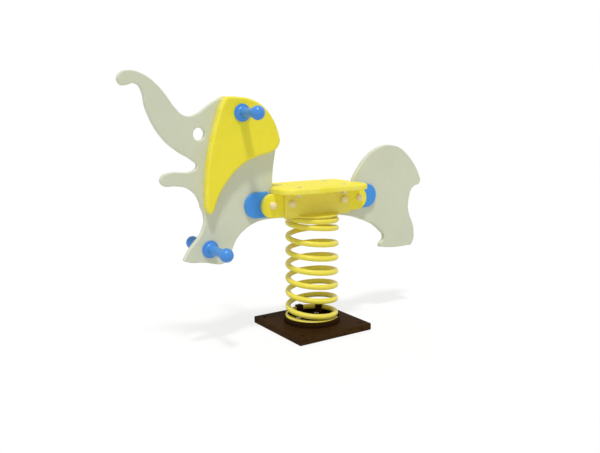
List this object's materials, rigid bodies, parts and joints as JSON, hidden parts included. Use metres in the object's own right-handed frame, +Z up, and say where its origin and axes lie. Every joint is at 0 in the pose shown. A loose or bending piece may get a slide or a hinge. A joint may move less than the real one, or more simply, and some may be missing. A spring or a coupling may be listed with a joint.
{
  "type": "playground spring rider",
  "caption": "Playground spring rider: a flat elephant of coloured boards with ears, seat, hand grips and foot grips that rocks on a steel coil spring bolted to a square ground plate.",
  "frame": {"origin": "On the ground, under the middle of the ground plate and on the coil's axis.", "axes": "+Z is up, the elephant faces -X, and its left side faces -Y."},
  "size_m": [1.252, 0.324, 0.9287],
  "materials": {
    "dark_paint": "dark brown paint, semi-matt",
    "yellow_paint": "yellow powder coat, semi-gloss",
    "steel": "zinc-plated steel",
    "pale_board": "pale grey-green board, smooth",
    "yellow_board": "yellow board, smooth",
    "blue_board": "blue board, smooth",
    "blue_grip": "blue moulded plastic, glossy",
    "cream_cap": "cream moulded plastic"
  },
  "bodies": {
    "base": {"base_plate": "dark_paint", "spring_collar": "dark_paint", "lower_clips": "dark_paint", "lower_clip_bolts": "steel"},
    "spring": {"coil_spring": "yellow_paint"},
    "rider": {"saddle_bracket": "yellow_paint", "upper_clips": "yellow_paint", "upper_clip_bolts": "steel", "body_panel": "pale_board", "left_spacer": "blue_board", "right_spacer": "blue_board", "left_cheek": "yellow_board", "right_cheek": "yellow_board", "seat_board": "yellow_board", "seat_bolts": "steel", "seat_nuts": "steel", "left_ear": "yellow_board", "right_ear": "yellow_board", "ear_dowels": "steel", "handle_rod": "steel", "left_hand_grip": "blue_grip", "right_hand_grip": "blue_grip", "foot_rod": "steel", "left_foot_grip": "blue_grip", "right_foot_grip": "blue_grip", "frame_bolts": "steel", "frame_nuts": "steel", "frame_washers": "steel", "bolt_caps": "cream_cap"}
  },
  "joints": [
    {"name": "fore_aft_rock", "type": "hinge", "parent": "base", "child": "spring", "pos_m": [0, 0, 0.126], "axis": [0, 1, 0], "range_deg": [-20, 20], "stiffness_Nm_per_rad": 450, "springref_deg": 2.45, "deforming": ["coil_spring"]},
    {"name": "side_rock", "type": "hinge", "parent": "spring", "child": "rider", "pos_m": [0, 0, 0.33], "axis": [1, 0, 0], "range_deg": [-12, 12], "stiffness_Nm_per_rad": 230, "springref_deg": 0.03, "deforming": ["coil_spring"]}
  ]
}
